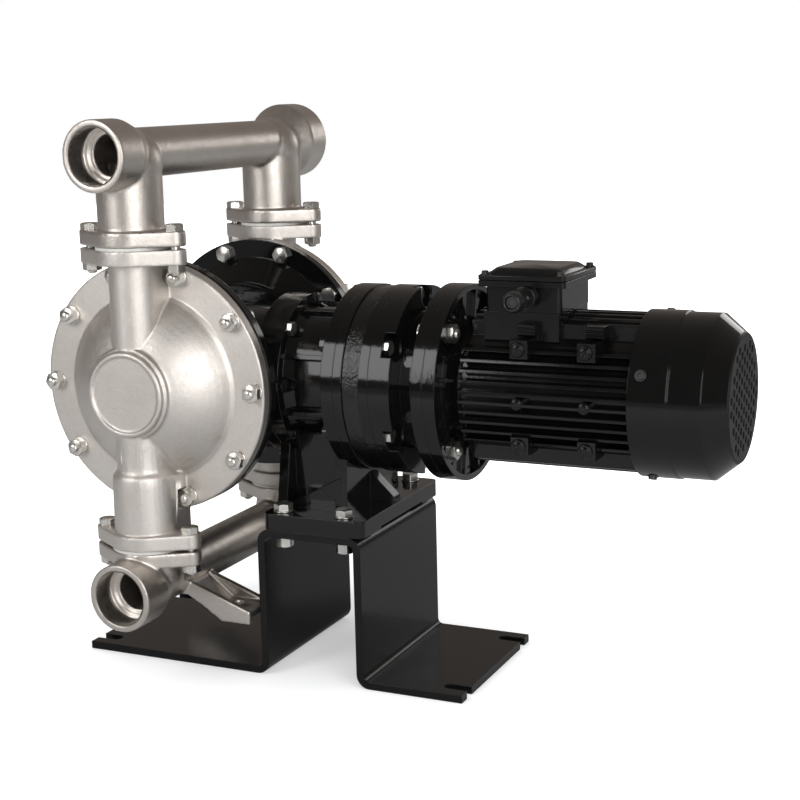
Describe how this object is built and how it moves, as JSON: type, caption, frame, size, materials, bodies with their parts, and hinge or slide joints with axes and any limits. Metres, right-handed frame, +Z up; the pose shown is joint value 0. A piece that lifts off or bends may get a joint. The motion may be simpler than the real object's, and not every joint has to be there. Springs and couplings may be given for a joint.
{
  "type": "electric diaphragm pump",
  "caption": "Double diaphragm pump with stainless chambers and manifolds, driven through a cycloidal reducer by a finned electric motor on a bent plate base.",
  "frame": {"origin": "on the floor, midway between the two chambers, under the rods' axis", "axes": "+X along the motor shaft towards the fan, +Y along the rods towards the rear chamber, +Z up"},
  "size_m": [0.7101, 0.404, 0.585],
  "materials": {
    "base_black": "satin black paint",
    "gloss_black": "gloss black paint over castings",
    "motor_black": "gloss black paint",
    "cast_stainless": "bead blasted stainless castings, satin",
    "manifold_stainless": "bead blasted stainless castings, satin",
    "stainless_fastener": "bright stainless",
    "zinc_fastener": "zinc plated",
    "black_screw": "black oxide",
    "bearing_steel": "polished bearing steel",
    "machined_steel": "ground and turned steel",
    "lamination": "stacked electrical steel",
    "winding": "varnished copper wire",
    "bronze": "turned bronze",
    "ptfe": "white fluoropolymer",
    "black_rubber": "black elastomer",
    "black_plastic": "moulded black plastic"
  },
  "bodies": {
    "pump": {"base_bracket": "base_black", "gearbox_housing": "gloss_black", "foot_bolts": "zinc_fastener", "crankcase": "gloss_black", "crankcase_bolts": "zinc_fastener", "mid_plate": "gloss_black", "ring_gear_housing": "gloss_black", "ring_pins": "bearing_steel", "input_plate": "gloss_black", "motor_adapter": "gloss_black", "reducer_bolts": "zinc_fastener", "motor_flange": "gloss_black", "flange_bolts": "zinc_fastener", "motor_frame": "motor_black", "stator_core": "lamination", "stator_windings": "winding", "rear_end_shield": "motor_black", "fan_cover": "motor_black", "fan_cover_screws": "black_screw", "terminal_box": "motor_black", "terminal_box_lid": "motor_black", "lid_screws": "black_screw", "terminal_block": "black_plastic", "cable_gland": "black_plastic", "gland_nut": "black_plastic", "output_bearings": "bearing_steel", "motor_bearings": "bearing_steel", "rod_bushes": "bronze", "rod_seals": "black_rubber", "front_inner_chamber": "gloss_black", "rear_inner_chamber": "gloss_black", "inner_chamber_screws": "black_screw", "front_outer_chamber": "cast_stainless", "rear_outer_chamber": "cast_stainless", "front_diaphragm": "black_rubber", "rear_diaphragm": "black_rubber", "chamber_bolts": "stainless_fastener", "top_manifold": "manifold_stainless", "bottom_manifold": "manifold_stainless", "valve_seats": "ptfe", "manifold_bolts": "stainless_fastener"},
    "rotor": {"rotor_core": "lamination", "motor_shaft": "machined_steel", "eccentric_sleeve": "machined_steel", "cooling_fan": "black_plastic"},
    "disc_a": {"cycloid_disc_a": "machined_steel"},
    "disc_b": {"cycloid_disc_b": "machined_steel"},
    "crank_drive": {"output_shaft": "machined_steel", "crank": "machined_steel", "crank_roller": "bearing_steel"},
    "rod_set": {"rod_yoke": "machined_steel", "push_rods": "machined_steel", "inner_plates": "machined_steel", "outer_plates": "machined_steel"},
    "front_inlet_valve": {"front_inlet_ball": "ptfe"},
    "rear_inlet_valve": {"rear_inlet_ball": "ptfe"},
    "front_outlet_valve": {"front_outlet_ball": "ptfe"},
    "rear_outlet_valve": {"rear_outlet_ball": "ptfe"}
  },
  "joints": [
    {"name": "motor_spin", "type": "hinge", "parent": "pump", "child": "rotor", "pos_m": [0.4, 0, 0.306], "axis": [1, 0, 0], "continuous": true},
    {"name": "disc_a_spin", "type": "hinge", "parent": "rotor", "child": "disc_a", "pos_m": [0.2085, 0, 0.3035], "axis": [1, 0, 0], "continuous": true},
    {"name": "disc_b_spin", "type": "hinge", "parent": "rotor", "child": "disc_b", "pos_m": [0.2171, 0, 0.3085], "axis": [1, 0, 0], "continuous": true},
    {"name": "crank_spin", "type": "hinge", "parent": "pump", "child": "crank_drive", "pos_m": [0.1, 0, 0.306], "axis": [1, 0, 0], "continuous": true},
    {"name": "rod_slide", "type": "slide", "parent": "pump", "child": "rod_set", "axis": [0, 1, 0], "range_m": [-0.008, 0.008], "deforming": ["front_diaphragm", "rear_diaphragm"]},
    {"name": "front_inlet_valve_lift", "type": "slide", "parent": "pump", "child": "front_inlet_valve", "axis": [0, 0, 1], "range_m": [0, 0.012]},
    {"name": "rear_inlet_valve_lift", "type": "slide", "parent": "pump", "child": "rear_inlet_valve", "axis": [0, 0, 1], "range_m": [0, 0.012]},
    {"name": "front_outlet_valve_lift", "type": "slide", "parent": "pump", "child": "front_outlet_valve", "axis": [0, 0, 1], "range_m": [0, 0.012]},
    {"name": "rear_outlet_valve_lift", "type": "slide", "parent": "pump", "child": "rear_outlet_valve", "axis": [0, 0, 1], "range_m": [0, 0.012]}
  ],
  "couplings": [
    {"joint": "disc_a_spin", "follows": "motor_spin", "ratio": -1.0588},
    {"joint": "disc_b_spin", "follows": "motor_spin", "ratio": -1.0588},
    {"joint": "crank_spin", "follows": "motor_spin", "ratio": -0.058824}
  ]
}
